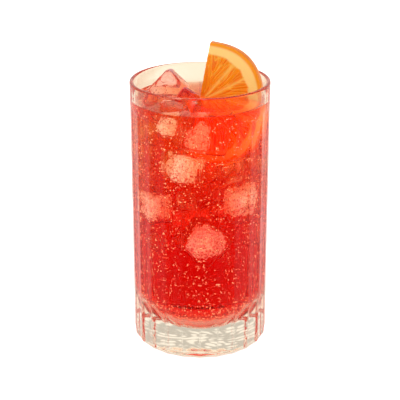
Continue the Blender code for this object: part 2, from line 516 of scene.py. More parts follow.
def painted_material(name, roughness, grain_scale, grain_depth, subsurface):
    """Colour from the vertices, with fine grain over it, and a glow in that colour: painted light, faint
    above the drink's level and strong a little way under it.
    """
    made, nodes, links = nodes_of(name)
    shader = nodes["Principled BSDF"]
    paint = nodes.new("ShaderNodeAttribute")
    paint.attribute_name = "paint"
    links.new(paint.outputs["Color"], shader.inputs["Base Color"])
    shader.inputs["Roughness"].default_value = roughness
    shader.inputs["Specular IOR Level"].default_value = 0.25
    shader.inputs["Subsurface Weight"].default_value = subsurface
    shader.inputs["Subsurface Radius"].default_value = (1.0, 0.45, 0.12)
    shader.inputs["Subsurface Scale"].default_value = 0.0015
    place = nodes.new("ShaderNodeTexCoord")
    grain = nodes.new("ShaderNodeTexNoise")
    grain.inputs["Scale"].default_value = grain_scale
    grain.inputs["Detail"].default_value = 3
    links.new(place.outputs["Object"], grain.inputs["Vector"])
    links.new(paint.outputs["Color"], shader.inputs["Emission Color"])
    split = nodes.new("ShaderNodeSeparateXYZ")
    links.new(place.outputs["Object"], split.inputs["Vector"])
    # Painted light: the slice glows, most a little way under the level.
    sunk = mapped(nodes, (LEVEL, LEVEL - SUNK_GLOW_DEPTH), (OPEN_GLOW, SUNK_GLOW))
    links.new(split.outputs["Z"], sunk.inputs["Value"])
    paler = nodes.new("ShaderNodeMath")
    paler.operation = "MULTIPLY"
    links.new(sunk.outputs["Result"], paler.inputs[0])
    links.new(paint.outputs["Fac"], paler.inputs[1])
    links.new(paler.outputs["Value"], shader.inputs["Emission Strength"])
    bump = nodes.new("ShaderNodeBump")
    bump.inputs["Strength"].default_value = 0.4
    bump.inputs["Distance"].default_value = grain_depth
    links.new(grain.outputs["Fac"], bump.inputs["Height"])
    links.new(bump.outputs["Normal"], shader.inputs["Normal"])
    return made


# Glass


def panel_outline():
    """Angles round the glass, each with its distance as a share of the radius."""
    half = math.pi / PANELS
    corner_share = 1 - EDGE_ROUNDING / GLASS_RADIUS / math.cos(half)
    rounding_share = EDGE_ROUNDING / GLASS_RADIUS
    corners = []
    for k in range(PANELS):
        middle = math.tau * k / PANELS - math.pi / 2
        arc = []
        for j in range(FILLET_STEPS + 1):
            turn = middle + half * (2 * j / FILLET_STEPS - 1)
            x = corner_share * math.cos(middle) + rounding_share * math.cos(turn)
            y = corner_share * math.sin(middle) + rounding_share * math.sin(turn)
            groove = GROOVE_DEPTH * (1 - abs(2 * j / FILLET_STEPS - 1))
            arc.append(Vector((x, y)) * (1 - groove / GLASS_RADIUS))
        corners.append(arc)
    outline = []
    for k, arc in enumerate(corners):
        following = corners[(k + 1) % PANELS]
        outline += arc
        for share in PANEL_SHARES:
            flat = arc[-1].lerp(following[0], share)
            outline.append(flat * (1 - 4 * share * (1 - share) * PANEL_HOLLOW / GLASS_RADIUS))
    return [(math.atan2(p.y, p.x), p.length) for p in outline]


def arc(centre_r, centre_z, radius, start, end, steps):
    for i in range(steps + 1):
        angle = math.radians(start + (end - start) * i / steps)
        yield centre_r + radius * math.cos(angle), centre_z + radius * math.sin(angle)


def bowl(radius, bottom, depth, steps):
    """Profile points of the round inside bottom, from near the axis out to the wall."""
    for i in range(1, steps + 1):
        angle = math.pi / 2 * i / steps
        yield radius * math.sin(angle), bottom + depth * (1 - math.cos(angle))


def bowl_height(radius):
    """Height of the round inside bottom at a distance from the axis."""
    share = np.clip(radius / (GLASS_RADIUS - WALL), 0, 1)
    return BOWL_BOTTOM + BOWL_DEPTH * (1 - np.sqrt(1 - share**2))


def turned(name, rings, around, poles, smooth_angle):
    """A closed body from rings of points, with a middle point under and over them."""
    vertices = [p for ring in rings for p in ring]
    faces = []
    for level in range(len(rings) - 1):
        for i in range(around):
            j = (i + 1) % around
            low, high = level * around, (level + 1) * around
            faces.append((low + i, low + j, high + j, high + i))
    low_pole, high_pole = len(vertices), len(vertices) + 1
    vertices += [(0, 0, poles[0]), (0, 0, poles[1])]
    last = (len(rings) - 1) * around
    for i in range(around):
        j = (i + 1) % around
        faces.append((low_pole, j, i))
        faces.append((high_pole, last + i, last + j))
    return add_object(name, vertices, faces, smooth_angle)


def round_rings(profile, around):
    """A ring of points for each radius and height of a profile."""
    ways = [(math.cos(math.tau * i / around), math.sin(math.tau * i / around)) for i in range(around)]
    return [[(radius * x, radius * y, height) for x, y in ways] for radius, height in profile]


def smooth_share(x):
    x = min(1.0, max(0.0, x))
    return x * x * (3 - 2 * x)


def make_glass():
    outline = panel_outline()
    inner = GLASS_RADIUS - WALL
    lip = RIM_WALL / 2
    outside = [(UNDERSIDE_STEP * s, 0.0) for s in range(1, UNDERSIDE_RINGS + 1)]
    outside += arc(GLASS_RADIUS - HEEL_RADIUS, HEEL_RADIUS, HEEL_RADIUS, -90, 0, HEEL_STEPS)
    outside += [(GLASS_RADIUS, PANEL_TOP * s) for s in HEIGHT_SHARES]
    outside += [(GLASS_RADIUS, PANEL_TOP + PANEL_FADE * s / FADE_STEPS) for s in range(FADE_STEPS + 1)]
    rim = list(arc(GLASS_RADIUS - lip, GLASS_HEIGHT - lip, lip, 0, 180, RIM_STEPS))
    taper = [RIM_TAPER_START - TAPER_STEP * s for s in range(TAPER_STEPS + 1)]
    inside = [(inner_radius(height), height) for height in taper]
    inside += [(inner, height) for height in INSIDE_HEIGHTS]
    inside += reversed(list(bowl(inner, BOWL_BOTTOM, BOWL_DEPTH, BOWL_STEPS)))
    rings = []
    for part, panelled in ((outside, True), (rim, False), (inside, False)):
        for radius, height in part:
            under = 0
            if panelled and height == 0:
                under = smooth_share((UNDERSIDE_RADIUS - radius) / UNDERSIDE_FADE)
            on_panels = smooth_share((PANEL_TOP + PANEL_FADE - height) / PANEL_FADE)
            ring = []
            for angle, share in outline:
                r = radius * (1 + (share - 1) * on_panels) if panelled else radius
                x, y = r * math.cos(angle), r * math.sin(angle)
                lift = 0.5 + 0.5 * noise.noise(Vector((x, y, 0)) * UNDERSIDE_GRAIN)
                ring.append((x, y, height + under * UNDERSIDE_LIFT * lift))
            rings.append(ring)
    glass = turned("pressed_glass", rings, len(outline), (0.0, BOWL_BOTTOM), GLASS_SMOOTH_ANGLE)
    glass.data.materials.append(clear_material("clear_glass_body", GLASS_TINT, GLASS_IOR, GLASS_SHINE))
    glass.data.materials.append(clear_material("clear_glass_wet", GLASS_TINT, GLASS_IOR, 0.0))
    for face in glass.data.polygons:
        wet_radius = inner_radius(face.center.z) + OVERLAP
        radius = face.center.xy.length
        above_bowl = face.center.z > bowl_height(radius) - BOWL_OVERLAP
        wet = face.center.z < LEVEL and radius < wet_radius and above_bowl
        face.material_index = 1 if wet else 0
    keep_piece(glass, "clear_glass", "glass")


def inner_radius(height):
    inner = GLASS_RADIUS - WALL
    share = (height - RIM_TAPER_END) / (RIM_TAPER_START - RIM_TAPER_END)
    return inner + min(1.0, max(0.0, share)) * (WALL - RIM_WALL)


# Ice


def wavy(mesh, voxel, depth, seed, offset):
    """Melts a block: an even fine mesh whose surface waves a little."""
    thing = bpy.data.objects.new("source", mesh)
    bpy.context.scene.collection.objects.link(thing)
    remesh = thing.modifiers.new("even", "REMESH")
    remesh.mode = "VOXEL"
    remesh.voxel_size = voxel
    smooth = thing.modifiers.new("soft", "SMOOTH")
    smooth.factor = SOFTENING
    smooth.iterations = SOFTENING_ROUNDS
    mesh = evaluated_mesh(thing)
    bpy.data.objects.remove(thing)
    normals = [v.normal.copy() for v in mesh.vertices]
    drift = Vector((seed * 3.7, seed * 1.3, -seed * 2.1))
    for vertex, normal in zip(mesh.vertices, normals):
        p = vertex.co
        large = noise.noise(p * WAVE_SCALE + drift)
        small = noise.noise(p * RIPPLE_SCALE - drift)
        vertex.co = p + normal * (depth * (large + RIPPLE_SHARE * small) + offset)
    mesh.update()
    return mesh


def paint_refraction_edges(mesh):
    """Colours a mesh red where it bends outward: painted refraction of the red drink at the ice's edges.
    """
    count = len(mesh.vertices)
    points = np.array([v.co for v in mesh.vertices])
    normals = np.array([v.normal for v in mesh.vertices])
    ends = np.array([e.vertices[:] for e in mesh.edges])
    bend = np.zeros(count)
    links = np.zeros(count)
    for a, b in ((0, 1), (1, 0)):
        way = points[ends[:, b]] - points[ends[:, a]]
        drop = -np.einsum("ij,ij->i", way, normals[ends[:, a]]) / np.linalg.norm(way, axis=1)
        np.add.at(bend, ends[:, a], drop)
        np.add.at(links, ends[:, a], 1)
    bend = bend / np.maximum(links, 1)
    for _ in range(2):
        spread = np.zeros(count)
        for a, b in ((0, 1), (1, 0)):
            np.add.at(spread, ends[:, a], bend[ends[:, b]])
        bend = 0.5 * bend + 0.5 * spread / np.maximum(links, 1)
    share = np.clip((bend - ICE_EDGE_LEAST) * ICE_EDGE_GAIN, 0, 1)[:, None]
    colour = (1 - share) + share * np.array(ICE_PAINTED_REFRACTION_EDGE_COLOUR)
    colour = np.concatenate([colour, np.ones((count, 1))], axis=1)
    layer = mesh.color_attributes.new("paint", "FLOAT_COLOR", "POINT")
    layer.data.foreach_set("color", colour.reshape(-1).astype(np.float32))


def ice_block(size, centre, turns, seed):
    """A cube of ice out of true, with round edges, in its place."""
    draw = np.random.default_rng(seed)
    bm = bmesh.new()
    bmesh.ops.create_cube(bm, size=size)
    for corner in bm.verts:
        corner.co += Vector(draw.uniform(-CORNER_SHIFT, CORNER_SHIFT, 3))
    edges = bm.edges[:]
    bmesh.ops.bevel(
        bm, geom=edges, offset=CORNER_ROUNDING, segments=CORNER_STEPS, profile=0.5, affect="EDGES"
    )
    mesh = bpy.data.meshes.new("ice_block")
    bm.to_mesh(mesh)
    bm.free()
    yaw, pitch, roll = (math.radians(turn) for turn in turns)
    turn = Matrix.Rotation(yaw, 4, "Z") @ Matrix.Rotation(pitch, 4, "X")
    turn = turn @ Matrix.Rotation(roll, 4, "Y")
    mesh.transform(Matrix.Translation(Vector(centre)) @ turn)
    return mesh


def welded(mesh):
    """A closed copy of a part's mesh, whose triangles share their corners."""
    bm = bmesh.new()
    bm.from_mesh(mesh)
    bmesh.ops.remove_doubles(bm, verts=bm.verts, dist=1e-6)
    made = bpy.data.meshes.new(mesh.name + "_welded")
    bm.to_mesh(made)
    bm.free()
    return made


def shrunk(mesh, depth):
    """A copy whose surface lies a little inside the first one's."""
    copy = mesh.copy()
    normals = [v.normal.copy() for v in mesh.vertices]
    for vertex, normal in zip(copy.vertices, normals):
        vertex.co = vertex.co - normal * depth
    return copy


def corners_of(size, centre, turns):
    """The eight corners of a block, a little larger than the block is."""
    yaw, pitch, roll = (math.radians(turn) for turn in turns)
    turn = Matrix.Rotation(yaw, 3, "Z") @ Matrix.Rotation(pitch, 3, "X") @ Matrix.Rotation(roll, 3, "Y")
    half = size / 2
    signs = [(a, b, c) for a in (-1, 1) for b in (-1, 1) for c in (-1, 1)]
    return np.array([Vector(centre) + turn @ Vector(sign) * half for sign in signs])


def apart(first, second, margin):
    """Whether two convex bodies, given by their points, lie apart along some direction."""
    between = second.mean(axis=0) - first.mean(axis=0)
    ways = [between]
    for body in (first, second):
        if len(body) == 8:
            ways += [body[4] - body[0], body[2] - body[0], body[1] - body[0]]
    if len(first) == 8 and len(second) == 8:
        edges = [[b[4] - b[0], b[2] - b[0], b[1] - b[0]] for b in (first, second)]
        ways += [np.cross(u, v) for u in edges[0] for v in edges[1]]
    for way in ways:
        length = np.linalg.norm(way)
        if length < 1e-9:
            continue
        a, b = first @ way / length, second @ way / length
        if a.max() + margin < b.min() or b.max() + margin < a.min():
            return True
    return False


def in_picture(point):
    """Where the camera shows a point."""
    away = point - np.array(CAMERA_PLACE)
    depth = away[1] * math.cos(CAMERA_TILT) - away[2] * math.sin(CAMERA_TILT)
    rise = away[1] * math.sin(CAMERA_TILT) + away[2] * math.cos(CAMERA_TILT)
    zoom = CAMERA_LENS / CAMERA_SENSOR * PICTURE_SIZE
    return np.array([PICTURE_SIZE / 2 + zoom * away[0] / depth, PICTURE_SIZE / 2 - zoom * rise / depth])


def fits_glass(body, centre):
    """Whether a block's rounded corners stay inside the wall."""
    rounded = body + (np.array(centre) - body) * ROUNDED_SHARE
    return np.hypot(rounded[:, 0], rounded[:, 1]).max() <= GLASS_RADIUS - WALL - WALL_CLEARANCE


def settle_front(others):
    """Finds each front block's free place, near its picture point and near the wall."""
    draw = np.random.default_rng(FRONT_SEED)
    bodies = list(others)
    placed = []
    for size, goal, turns in FRONT_ICE:
        least, found = math.inf, None
        for _ in range(FRONT_TRIES):
            centre = np.array([draw.uniform(low, high) for low, high in FRONT_ROOM])
            miss = np.hypot(*(in_picture(centre) - goal))
            if miss > FRONT_MISS:
                continue
            tried = tuple(turn + draw.uniform(-FRONT_TURN, FRONT_TURN) for turn in turns)
            cost = miss + WALL_PULL * centre[1]
            if cost > least:
                continue
            body = corners_of(size, centre, tried)
            if not fits_glass(body, centre):
                continue
            if all(apart(body, other, FRONT_GAP) for other in bodies):
                least, found = cost, (size, tuple(centre), tried)
        if found is None:
            raise RuntimeError("a front block of ice finds no free place")
        placed.append(found)
        bodies.append(corners_of(*found))
    return sorted(placed)


def pack_ice(others, front):
    """Fills the upper drink with blocks of ice that touch nothing, larger ones first."""
    draw = np.random.default_rng(SEED)
    placed = list(front)
    bodies = list(others) + [corners_of(*block) for block in front]
    limit = GLASS_RADIUS - WALL - WALL_CLEARANCE
    for size in FILL_SIZES:
        for _ in range(FILL_TRIES):
            turn = draw.uniform(0, math.tau)
            away = limit * math.sqrt(draw.uniform(0, 1))
            height = draw.uniform(FILL_LOWEST, FILL_HIGHEST)
            turns = tuple(draw.uniform(-FILL_TURN, FILL_TURN, 3))
            actual = size * draw.uniform(*FILL_SPREAD)
            centre = (away * math.cos(turn), away * math.sin(turn), height)
            body = corners_of(actual, centre, turns)
            if not fits_glass(body, centre):
                continue
            if body[:, 2].max() > LEVEL - SURFACE_CLEARANCE:
                continue
            if body[:, 2].min() < FILL_LOWEST - CORNER_BELOW:
                continue
            if all(apart(body, other, 0.0) for other in bodies):
                bodies.append(body)
                placed.append((actual, centre, turns))
    return placed


def make_cloud(mesh, seed, shift, scale):
    """Nested wisps round the middle of a block, densest at the middle."""
    points = np.array([v.co for v in mesh.vertices])
    middle = Vector(points.mean(axis=0)) + Vector(shift)
    tree = BVHTree.FromPolygons([v.co for v in mesh.vertices], [tuple(p.vertices) for p in mesh.polygons])
    vertices, faces = [], []
    for shell, share in enumerate(CLOUD_SHARES):
        bm = bmesh.new()
        bmesh.ops.create_icosphere(bm, subdivisions=4, radius=1.0)
        first = len(vertices)
        for v in bm.verts:
            way = v.co
            reached = tree.ray_cast(middle, way)[3] or CLOUD_DEFAULT
            swell = noise.noise(way * CLOUD_SWELL_SCALE + Vector((seed, shell, 0)))
            ripple = noise.noise(way * CLOUD_RIPPLE_SCALE + Vector((shell, seed, 3)))
            wobble = 1 + CLOUD_SWELL * swell + CLOUD_RIPPLE * ripple
            reached = min(reached, CLOUD_LARGEST)
            reached = min(reached * share * wobble, reached * CLOUD_REACH)
            vertices.append(middle + way * reached * scale)
        faces += [tuple(first + v.index for v in f.verts) for f in bm.faces]
        bm.free()
    return vertices, faces


# Drink


def make_drink(cutters, hollows):
    inner = GLASS_RADIUS - WALL + OVERLAP
    bottom = BOWL_BOTTOM - BOWL_OVERLAP
    profile = list(bowl(inner, bottom, BOWL_DEPTH + BOWL_OVERLAP, BOWL_STEPS))
    profile += [(inner_radius(h) + OVERLAP, h) for h in DRINK_HEIGHTS]
    top = inner_radius(LEVEL) + OVERLAP
    profile += [(top, LEVEL + MENISCUS_RISE)]
    for i in range(1, MENISCUS_STEPS + 1):
        share = i / MENISCUS_STEPS
        rise = MENISCUS_RISE * (1 - share) ** MENISCUS_POWER
        profile.append((top - OVERLAP - MENISCUS_WIDTH * share, LEVEL + rise))
    profile += [(radius, LEVEL) for radius in LEVEL_RADII]
    rings = round_rings(profile, DRINK_SIDES)
    drink = turned("red_drink_body", rings, DRINK_SIDES, (bottom, LEVEL), None)
    for index, mesh in enumerate(cutters):
        cutter = bpy.data.objects.new(f"room_{index}", mesh)
        bpy.context.scene.collection.objects.link(cutter)
        boolean = drink.modifiers.new(cutter.name, "BOOLEAN")
        boolean.operation = "DIFFERENCE"
        boolean.object = cutter
        boolean.solver = "MANIFOLD"
    cut = evaluated_mesh(drink)
    for thing in [o for o in bpy.data.objects if o.name.startswith("room_")]:
        bpy.data.objects.remove(thing)
    bpy.data.objects.remove(drink)
    bm = bmesh.new()
    bm.from_mesh(cut)
    for mesh in hollows:
        turned_in = mesh.copy()
        turned_in.flip_normals()
        bm.from_mesh(turned_in)
    bm.to_mesh(cut)
    bm.free()
    drink = add_mesh("red_drink", cut, DRINK_SMOOTH_ANGLE)
    mask = drink.data.attributes.new("open_face", "FLOAT", "POINT")
    heights = np.array([v.co.z for v in drink.data.vertices])
    radii = np.array([v.co.xy.length for v in drink.data.vertices])
    is_open = (heights > LEVEL - OPEN_FACE_DEPTH) & (radii < inner_radius(LEVEL) + OVERLAP / 2)
    mask.data.foreach_set("value", is_open.astype(np.float32))
    drink.data.materials.clear()
    drink.data.materials.append(drink_material())
    keep_piece(drink, "red_drink", "drink")


def make_layers():
    """Deeper red towards the bottom, as domes that let light through unbent."""
    for index, (top, density) in enumerate(LAYERS):
        side = GLASS_RADIUS - WALL - LAYER_GAP * (index + 1)
        low = BOWL_BOTTOM + LAYER_GAP * (index + 1)
        profile = list(bowl(side, low, BOWL_DEPTH, LAYER_STEPS))
        for i in range(LAYER_STEPS):
            angle = math.pi / 2 * i / LAYER_STEPS
            height = top + LAYER_DOME * math.sin(angle)
            profile.append((side * math.cos(angle), max(height, low + BOWL_DEPTH + LAYER_RISE)))
        rings = round_rings(profile, LAYER_SIDES)
        layer = turned(f"deep_red_{index + 1}", rings, LAYER_SIDES, (low, top + LAYER_DOME), None)
        layer.data.materials.append(layer_material(f"deep_red_{index + 1}", density))
        keep_piece(layer, "red_drink")


# Orange slice


def slice_matrix():
    """From the slice's own frame (right, up, out of the front face) to the world."""
    right = Vector((math.cos(SLICE_YAW), -math.sin(SLICE_YAW), 0))
    out_level = Vector((-math.sin(SLICE_YAW), -math.cos(SLICE_YAW), 0))
    up_level = Vector((0, 0, 1))
    out = math.cos(SLICE_LEAN) * out_level + math.sin(SLICE_LEAN) * up_level
    up = math.cos(SLICE_LEAN) * up_level - math.sin(SLICE_LEAN) * out_level
    along = math.cos(SLICE_ROLL) * up + math.sin(SLICE_ROLL) * right
    across = math.cos(SLICE_ROLL) * right - math.sin(SLICE_ROLL) * up
    turn = Matrix((across, along, out)).transposed().to_4x4()
    return Matrix.Translation(SLICE_CENTRE) @ turn


def outline_scale(angle):
    corner = np.exp(-((angle / TOP_CORNER_SPREAD) ** 2))
    shoulder = np.exp(-(((angle - SHOULDER_ANGLE) / SHOULDER_SPREAD) ** 2))
    return 1 - TOP_CORNER_LOSS * corner + SHOULDER_GAIN * shoulder


def sac_pattern(u, v, seed):
    """Distance to the nearest and second nearest cell, and the nearest cell's own number."""
    cell_u, cell_v = np.floor(u), np.floor(v)
    nearest = np.full(u.shape, 9.0)
    second = np.full(u.shape, 9.0)
    own = np.zeros(u.shape)
    for du in (-1, 0, 1):
        for dv in (-1, 0, 1):
            a, b = cell_u + du, cell_v + dv
            jitter_u = np.modf(np.abs(np.sin(a * 127.1 + b * 311.7 + seed) * 43758.5))[0]
            jitter_v = np.modf(np.abs(np.sin(a * 269.5 + b * 183.3 + seed) * 24634.6))[0]
            away = np.hypot(u - a - jitter_u, v - b - jitter_v)
            closer = away < nearest
            second = np.where(closer, nearest, np.minimum(second, away))
            own = np.where(closer, jitter_u, own)
            nearest = np.where(closer, away, nearest)
    return nearest, second, own


def face_looks(x, y, share, seed):
    """Relief and colour of a cut face: juice sacs, membranes, pith and zest; the pale streaks between the
    sacs are partly their walls and partly painted highlight.
    """
    angle = np.arctan2(x, y)
    radius = share * SLICE_RADIUS
    bend = 0.25 * np.sin(radius * 420 + angle * 5 + seed) + 0.18 * np.sin(angle * 23 + seed)
    along = radius * SAC_SCALE_OUT + 1.6 * np.sin(angle * 9)
    nearest, second, own = sac_pattern(angle * SAC_SCALE_ROUND + bend, along, seed)
    border = np.clip((second - nearest) / SAC_BORDER, 0, 1)
    dome = np.clip(1 - nearest**2, 0, 1) * border
    gap = np.min([np.abs(angle - math.radians(m)) for m in MEMBRANE_ANGLES], axis=0)
    width = MEMBRANE_WIDTH + 0.0006 / np.maximum(radius, 0.002)
    membrane = np.exp(-((gap / width) ** 2))
    core = np.exp(-((share / CORE_SPREAD) ** 2))
    gap_edge = 0.012 * np.cos(np.clip(gap / 0.18, 0, 1) * math.pi / 2)
    edge_share = FLESH_SHARE - gap_edge * 2.2
    flesh = 1 / (1 + np.exp((share - edge_share) / EDGE_SOFTNESS))
    zest = 1 / (1 + np.exp((ZEST_SHARE - share) / EDGE_SOFTNESS))
    solid = np.maximum(membrane, core)
    relief = flesh * (1 - solid) * (SAC_HEIGHT * dome - SAC_SINK) - flesh * solid * MEMBRANE_SINK
    relief = np.where(share > ROUNDED_FROM, relief - FACE_DEPTH, relief)
    sac = np.array(linear(243, 122, 0))
    sac_pale = np.array(linear(252, 158, 12))
    # Pale streaks between the sacs: partly their pale walls, partly painted highlight.
    sac_wall_and_highlight = np.array(linear(255, 190, 62))
    skin = np.array(linear(255, 200, 96))
    pith = np.array(linear(253, 214, 128))
    peel = np.array(linear(248, 150, 6))
    colour = np.broadcast_to(sac, (*share.shape, 3))
    coats = ((own * 0.8, sac_pale), ((1 - border) * 0.85, sac_wall_and_highlight), (solid * 0.75, skin))
    for cover, tone in coats + ((1 - flesh, pith), (zest, peel)):
        cover = cover[..., None]
        colour = colour * (1 - cover) + tone * cover
    return relief, colour


def reach(angle, circle):
    half_chord = circle * circle - (CUT_OFFSET * np.cos(angle)) ** 2
    return CUT_OFFSET * np.sin(angle) + np.sqrt(half_chord)


def make_slice():
    flesh_rings = np.linspace(SLICE_CORE, FLESH_SHARE + 0.02, FLESH_RINGS)
    shares = np.concatenate([flesh_rings, np.linspace(FLESH_SHARE + 0.03, 1.0, PEEL_RINGS)])
    angle = np.linspace(0, math.pi, SLICE_COLUMNS)[:, None]
    circle = shares[None, :] * SLICE_RADIUS * outline_scale(angle)
    distance = reach(angle, circle)
    x = distance * np.sin(angle) - CUT_OFFSET
    y = distance * np.cos(angle)
    share = np.broadcast_to(shares[None, :], x.shape)
    front_relief, front_colour = face_looks(x, y, share, 1.0)
    back_relief, back_colour = face_looks(x, y, share, 5.0)
    front_z = front_relief - FACE_DEPTH
    back_z = -SLICE_THICKNESS - back_relief + FACE_DEPTH
    bm = bmesh.new()
    paint = bm.verts.layers.float_color.new("paint")

    def vert(px, py, pz, colour):
        made = bm.verts.new((px, py, pz))
        made[paint] = (*colour, 1.0)
        return made

    def sheet(grid):
        for left, right in zip(grid, grid[1:]):
            for i in range(len(left) - 1):
                bm.faces.new((left[i], left[i + 1], right[i + 1], right[i]))

    def plane(z, colour):
        return [
            [vert(x[c, r], y[c, r], z[c, r], colour[c, r]) for r in range(len(shares))]
            for c in range(SLICE_COLUMNS)
        ]

    fronts, backs = plane(front_z, front_colour), plane(back_z, back_colour)
    sheet(fronts)
    sheet(backs)
    for grid, z, colour in ((fronts, 0.0, front_colour), (backs, -SLICE_THICKNESS, back_colour)):
        middle = vert(-CUT_OFFSET, 0, z, colour[0, 0])
        for left, right in zip(grid, grid[1:]):
            bm.faces.new((middle, left[0], right[0]))

    peel = np.array(linear(246, 142, 4))
    peel_dark = np.array(linear(224, 112, 0))
    strip = []
    for c in range(SLICE_COLUMNS):
        a, b = fronts[c][-1], backs[c][-1]
        way = Vector((a.co.x, a.co.y, 0)).normalized()
        line = [a]
        for i in range(1, PEEL_ROWS):
            s = i / PEEL_ROWS
            round_out = PEEL_BULGE * math.sin(math.pi * s) ** PEEL_POWER
            p = a.co.lerp(b.co, s) + way * round_out
            pore = sum(noise.noise(p * scale) * 0.5 for scale in PORE_SCALES)
            p = p + way * min(0.0, pore) * PORE_DEPTH
            tone = 0.5 + 0.5 * noise.noise(p * PEEL_TONE_SCALE)
            shade = peel * tone + peel_dark * (1 - tone)
            # Pores darken the deeper they sink: painted shade.
            shade = shade * (1 + PORE_PAINTED_SHADE * min(0.0, pore))
            line.append(vert(*p, shade))
        strip.append(line + [b])
    sheet(strip)

    for side in (0, -1):
        grid = []
        for r, (a, b) in enumerate(zip(fronts[side], backs[side])):
            if r == len(shares) - 1:
                grid.append(strip[side])
                continue
            line = [a]
            for i in range(1, PEEL_ROWS):
                p = a.co.lerp(b.co, i / PEEL_ROWS)
                flesh = 1.0 if shares[r] < FLESH_SHARE else 0.0
                lump = noise.noise(Vector((p.y * 500, p.z * 900, 2)))
                p.x -= flesh * CUT_LUMP * lump
                mix = 0.5 + 0.5 * lump
                line.append(vert(*p, front_colour[side, r] * (0.85 + 0.15 * mix)))
            grid.append(line + [b])
        sheet(grid)
    bmesh.ops.holes_fill(bm, edges=[e for e in bm.edges if e.is_boundary], sides=0)
    bmesh.ops.recalc_face_normals(bm, faces=bm.faces)
    mesh = bpy.data.meshes.new("orange_half_slice")
    bm.to_mesh(mesh)
    bm.free()
    mesh.transform(Matrix.Translation((0, 0, -SLICE_DROP)) @ slice_matrix())
    piece = add_mesh("orange_half_slice", mesh, SLICE_SMOOTH_ANGLE)
    piece.data.materials.append(painted_material("orange_fruit", 0.28, 1800, 0.0002, 0.15))
    keep_piece(piece, "orange_flesh", "orange_slice")
    return piece


# Bubbles


def ball(subdivisions):
    bm = bmesh.new()
    if subdivisions:
        bmesh.ops.create_icosphere(bm, subdivisions=subdivisions, radius=1.0)
    else:
        bmesh.ops.create_uvsphere(bm, u_segments=4, v_segments=2, radius=1.0)
    points = np.array([v.co for v in bm.verts])
    faces = np.array([[v.index for v in f.verts] for f in bm.faces])
    bm.free()
    return points, faces


def scatter(name, centres, radii, subdivisions, made, slot):
    """Many small balls joined into one piece."""
    points, faces = ball(subdivisions)
    count = len(centres)
    vertices = centres[:, None, :] + points[None, :, :] * radii[:, None, None]
    corners = faces[None, :, :] + (np.arange(count) * len(points))[:, None, None]
    mesh = bpy.data.meshes.new(name)
    mesh.vertices.add(count * len(points))
    mesh.vertices.foreach_set("co", vertices.reshape(-1))
    mesh.loops.add(count * len(faces) * 3)
    mesh.loops.foreach_set("vertex_index", corners.reshape(-1).astype(np.int32))
    mesh.polygons.add(count * len(faces))
    mesh.polygons.foreach_set("loop_start", np.arange(count * len(faces), dtype=np.int32) * 3)
    mesh.update(calc_edges=True)
    mesh.validate()
    piece = add_mesh(name, mesh)
    piece.data.materials.append(made)
    keep_piece(piece, slot)


def tree_of(meshes):
    vertices, faces = [], []
    for mesh in meshes:
        first = len(vertices)
        vertices += [v.co.copy() for v in mesh.vertices]
        faces += [tuple(first + i for i in p.vertices) for p in mesh.polygons]
    return BVHTree.FromPolygons(vertices, faces)


def clear_of(tree, point, margin):
    """Whether a point lies outside the solids and not too near them."""
    place, normal, _, away = tree.find_nearest(Vector(point))
    return away > margin and (Vector(point) - place).dot(normal) > 0


def on_surface(mesh, count, draw, lowest, highest, lift):
    """Random places just off a mesh's surface, spread by area."""
    areas = np.array([p.area for p in mesh.polygons])
    picks = draw.choice(len(areas), size=count, p=areas / areas.sum())
    out = []
    for pick in picks:
        face = mesh.polygons[pick]
        corners = [mesh.vertices[i].co for i in face.vertices]
        weights = draw.dirichlet(np.ones(len(corners)))
        p = Vector((0, 0, 0))
        for corner, weight in zip(corners, weights):
            p += corner * weight
        p += face.normal * lift
        if lowest < p.z < highest:
            out.append(p)
    return np.array(out).reshape(-1, 3)


def round_places(angles, away, heights):
    """Points given by their angle round the axis, their distance from it and their height."""
    return np.stack([away * np.cos(angles), away * np.sin(angles), heights], axis=1)


def scatter_pairs(name, solids, centres, radii, highlight_share, looks):
    """Bubbles that touch no ice and no orange, each with a glowing ball inside as its painted highlight.
    """
    keep = np.array([clear_of(solids, c, r) for c, r in zip(centres, radii)])
    centres, radii = centres[keep], radii[keep]
    scatter(name + "s", centres, radii, 1, looks[0], "red_drink")
    scatter(name + "_middles", centres, radii * highlight_share, 0, looks[1], "red_drink")


# Putting it together

make_glass()
orange = make_slice()

ice_names = sorted(n for n in frame["nodes"] if n.startswith("ice_"))
ice_meshes = []
for index, name in enumerate(ice_names):
    mesh = wavy(frame["nodes"][name].data.copy(), OPEN_VOXEL, OPEN_WAVE, index, OPEN_OFFSET)
    ice_meshes.append(mesh)
    piece = add_mesh("melting_" + name, mesh)
    paint_refraction_edges(piece.data)
    piece.data.materials.clear()
    piece.data.materials.append(stained_and_refraction_painted_ice("clear_ice_" + name, ICE_STAIN_AND_PAINTED_REFRACTION_DENSITIES[name]))
    keep_piece(piece, "clear_ice", name)

standing = [np.array([v.co for v in mesh.vertices])[::STANDING_STRIDE] for mesh in ice_meshes]
standing.append(np.array([v.co for v in frame["nodes"]["orange_slice"].data.vertices]))
blocks = pack_ice(standing, settle_front(standing))

sunk_meshes = []
for index, (size, centre, turns) in enumerate(blocks):
    block = ice_block(size * SUNK_SHARE, centre, turns, SEED + index)
    voxel = LARGE_VOXEL if size > LARGE_BLOCK else SMALL_VOXEL
    sunk_meshes.append(wavy(block, voxel, SUNK_WAVE, SUNK_FIRST_WAVE + index, SUNK_OFFSET))
joined = bmesh.new()
for mesh in sunk_meshes:
    joined.from_mesh(mesh)
sunk = bpy.data.meshes.new("sunk_ice")
joined.to_mesh(sunk)
joined.free()
piece = add_mesh("sunk_ice", sunk)
piece.data.materials.clear()
piece.data.materials.append(clear_material("sunk_ice_clear", WHITE, SUNK_ICE_IOR, 0.0))
keep_piece(piece, "clear_ice")

